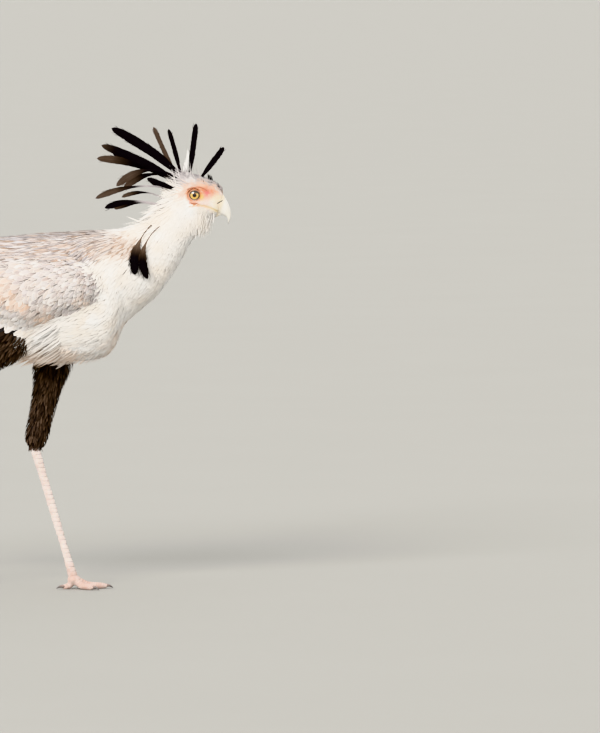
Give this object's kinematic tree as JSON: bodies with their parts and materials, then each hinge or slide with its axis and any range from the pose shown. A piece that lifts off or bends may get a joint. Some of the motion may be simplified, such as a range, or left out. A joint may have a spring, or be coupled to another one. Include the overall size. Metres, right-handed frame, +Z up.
{
  "type": "secretary bird",
  "caption": "Life-size still secretary bird in mid-stride, with a raised crest of black plumes, folded wings, black thighs, bare shanks and long tail feathers.",
  "frame": {"origin": "on the floor, under the middle of the length and breadth of the whole bird", "axes": "+X the way the bird faces, +Y its left, +Z up"},
  "size_m": [1.249, 0.232, 0.9841],
  "materials": {
    "pale_plumage": "soft, matte",
    "grey_plumage": "soft, matte",
    "black_plumage": "soft sheen",
    "leg_skin": "scaled, matte",
    "bill_horn": "satin horn",
    "claw_horn": "satin horn",
    "eye": "wet gloss"
  },
  "bodies": {
    "root": {"trunk": "pale_plumage", "neck": "pale_plumage", "head": "pale_plumage", "crest_nape_white": "pale_plumage", "wing_left": "grey_plumage", "wing_right": "grey_plumage", "tail": "grey_plumage", "tail_streamer_left": "grey_plumage", "tail_streamer_right": "grey_plumage", "quills_left": "black_plumage", "quills_right": "black_plumage", "thigh_left": "black_plumage", "thigh_right": "black_plumage", "crest_brow": "black_plumage", "crest_crown": "black_plumage", "crest_rear_crown": "black_plumage", "crest_rear_crown_far": "black_plumage", "crest_tall": "black_plumage", "crest_tall_far": "black_plumage", "crest_broad": "black_plumage", "crest_broad_far": "black_plumage", "crest_long": "black_plumage", "crest_droop": "black_plumage", "crest_droop_far": "black_plumage", "crest_short": "black_plumage", "crest_short_far": "black_plumage", "crest_curl": "black_plumage", "crest_curl_far": "black_plumage", "crest_nape": "black_plumage", "crest_nape_far": "black_plumage", "neck_plume_front_left": "black_plumage", "neck_plume_front_right": "black_plumage", "neck_plume_rear_left": "black_plumage", "neck_plume_rear_right": "black_plumage", "shank_left": "leg_skin", "shank_right": "leg_skin", "foot_left": "leg_skin", "foot_right": "leg_skin", "bill_upper": "bill_horn", "bill_lower": "bill_horn", "claw_inner_left": "claw_horn", "claw_inner_right": "claw_horn", "claw_middle_left": "claw_horn", "claw_middle_right": "claw_horn", "claw_outer_left": "claw_horn", "claw_outer_right": "claw_horn", "claw_hind_left": "claw_horn", "claw_hind_right": "claw_horn", "eye_left": "eye", "eye_right": "eye"}
  },
  "joints": []
}
